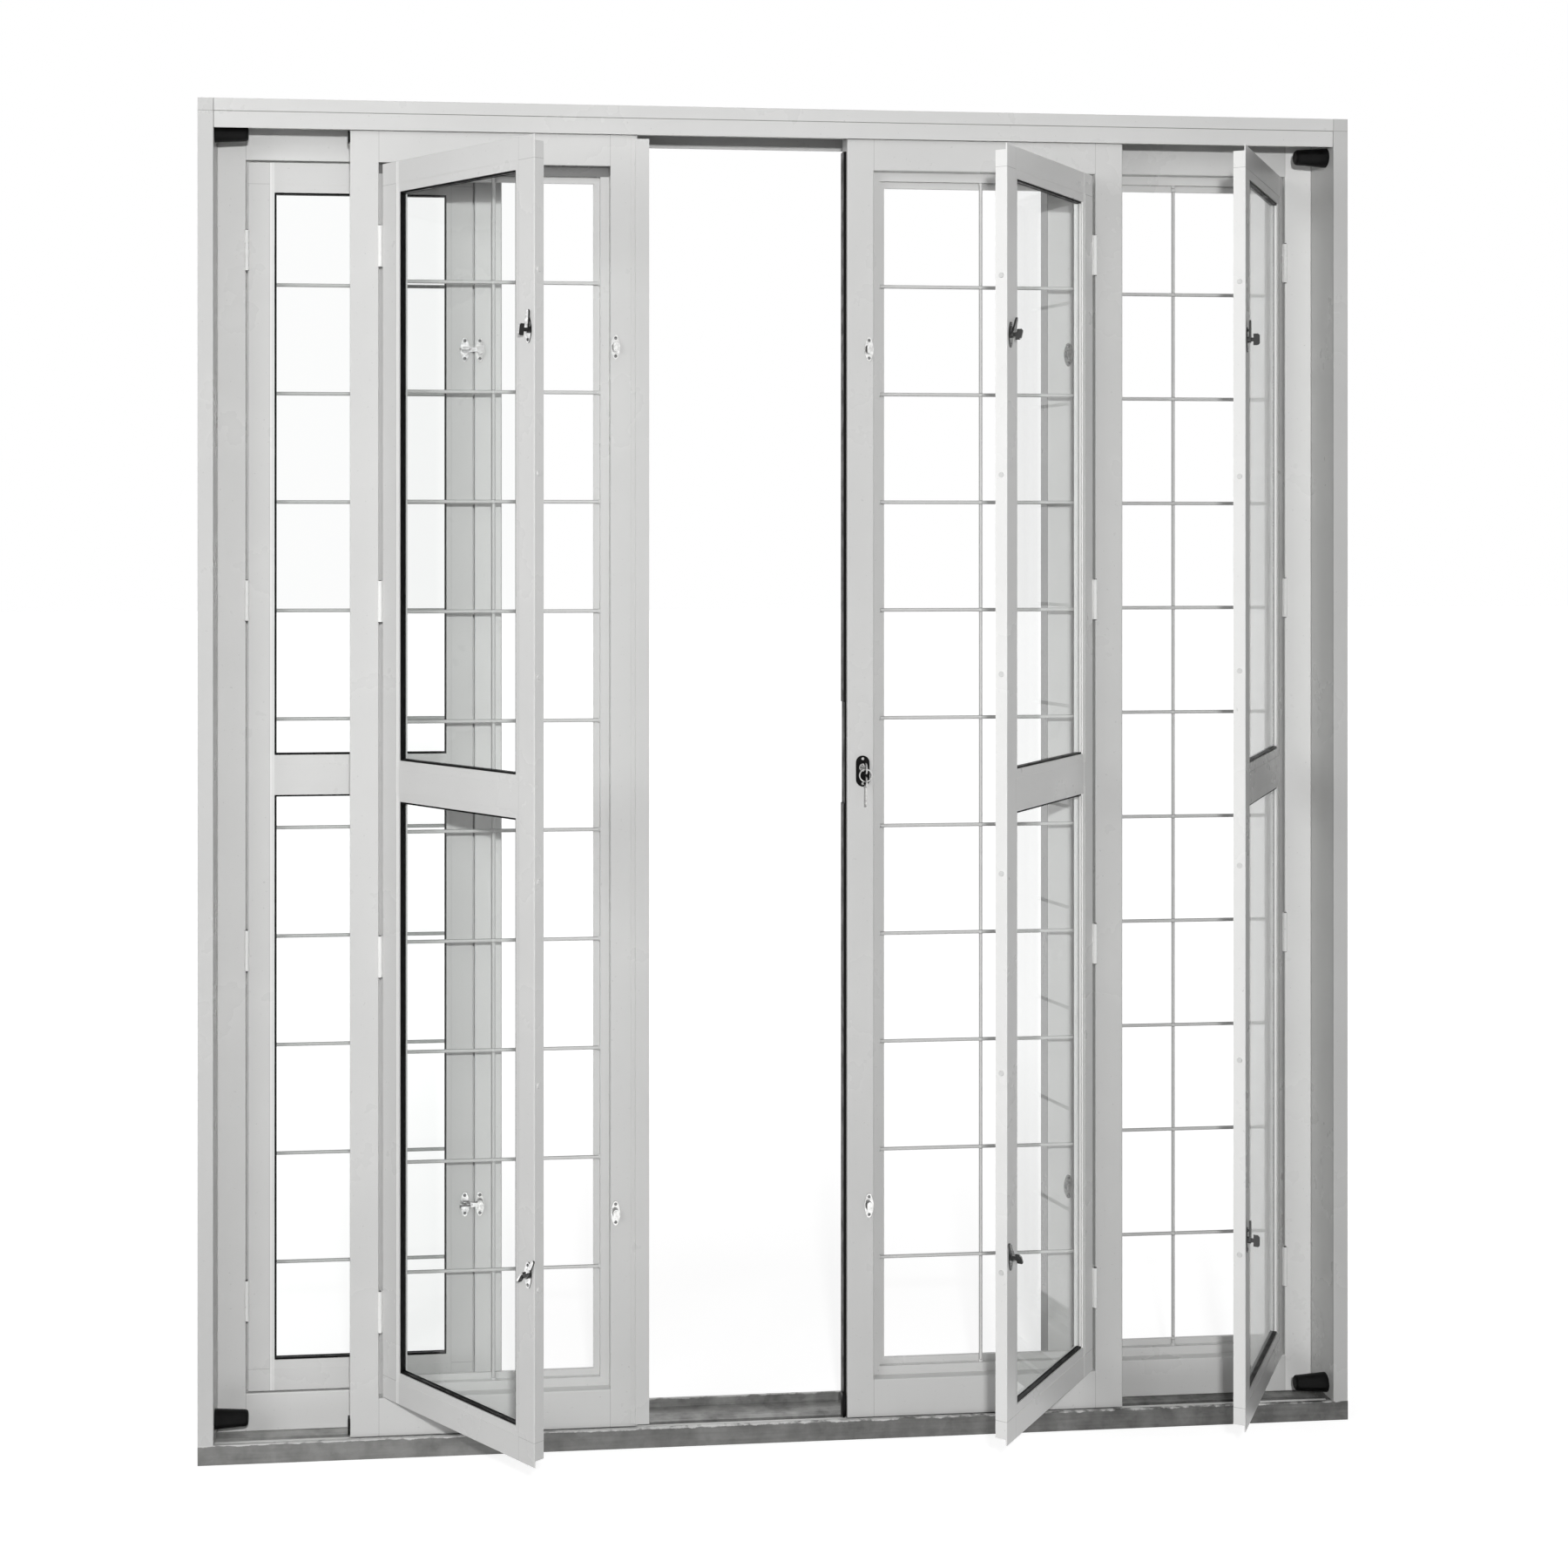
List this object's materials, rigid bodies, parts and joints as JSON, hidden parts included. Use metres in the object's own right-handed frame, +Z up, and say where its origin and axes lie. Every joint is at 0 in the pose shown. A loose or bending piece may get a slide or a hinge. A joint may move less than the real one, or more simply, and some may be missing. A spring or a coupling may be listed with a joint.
{
  "type": "steel sliding door",
  "caption": "Steel sliding patio door: fixed outer leaves, sliding centre leaves on a sill rail, welded security grilles and hinged glazed windows.",
  "frame": {"origin": "underside of the sill, in the middle of its width and depth", "axes": "+X along the width to the right as seen from the side with the hinged windows, -Y towards that side, +Z up"},
  "size_m": [1.88, 0.4128, 2.15],
  "materials": {
    "white_paint": "satin light grey-white enamel on pressed steel",
    "bare_steel": "dull galvanised steel with some overspray",
    "glass": "clear float glass",
    "black_rubber": "matte black rubber",
    "black_plastic": "black moulded plastic",
    "chrome": "polished chrome plate",
    "roller_nylon": "natural nylon"
  },
  "bodies": {
    "frame": {"fascia": "white_paint", "head": "white_paint", "head_guide": "white_paint", "left_bumpers": "black_rubber", "left_fixed_catches": "chrome", "left_fixed_glass": "glass", "left_fixed_glazing_gaskets": "black_rubber", "left_fixed_grille": "white_paint", "left_fixed_hinges": "white_paint", "left_fixed_keepers": "chrome", "left_fixed_leaf_frame": "white_paint", "left_fixed_window_frame": "white_paint", "left_jamb": "white_paint", "right_bumpers": "black_rubber", "right_fixed_catches": "chrome", "right_fixed_glass": "glass", "right_fixed_glazing_gaskets": "black_rubber", "right_fixed_grille": "white_paint", "right_fixed_hinges": "white_paint", "right_fixed_keepers": "chrome", "right_fixed_leaf_frame": "white_paint", "right_fixed_window_frame": "white_paint", "right_jamb": "white_paint", "sill": "bare_steel", "track_rail": "bare_steel"},
    "left_sliding_leaf": {"left_slider_catches": "chrome", "left_slider_glass": "glass", "left_slider_glazing_gaskets": "black_rubber", "left_slider_grille": "white_paint", "left_slider_hinges": "white_paint", "left_slider_keepers": "chrome", "left_slider_leaf_frame": "white_paint", "left_slider_meeting_lip": "white_paint", "left_slider_rollers": "roller_nylon", "left_slider_window_frame": "white_paint"},
    "right_sliding_leaf": {"lock_cylinder": "chrome", "lock_escutcheon": "black_plastic", "lock_faceplate": "black_plastic", "lock_keys": "chrome", "right_slider_catches": "chrome", "right_slider_glass": "glass", "right_slider_glazing_gaskets": "black_rubber", "right_slider_grille": "white_paint", "right_slider_hinges": "white_paint", "right_slider_keepers": "chrome", "right_slider_leaf_frame": "white_paint", "right_slider_meeting_seal": "black_rubber", "right_slider_rollers": "roller_nylon", "right_slider_window_frame": "white_paint"}
  },
  "joints": [
    {"name": "left_leaf_slide", "type": "slide", "parent": "frame", "child": "left_sliding_leaf", "axis": [1, 0, 0], "range_m": [-0.154, 0.237]},
    {"name": "right_leaf_slide", "type": "slide", "parent": "frame", "child": "right_sliding_leaf", "axis": [-1, 0, 0], "range_m": [-0.23, 0.0965]}
  ]
}
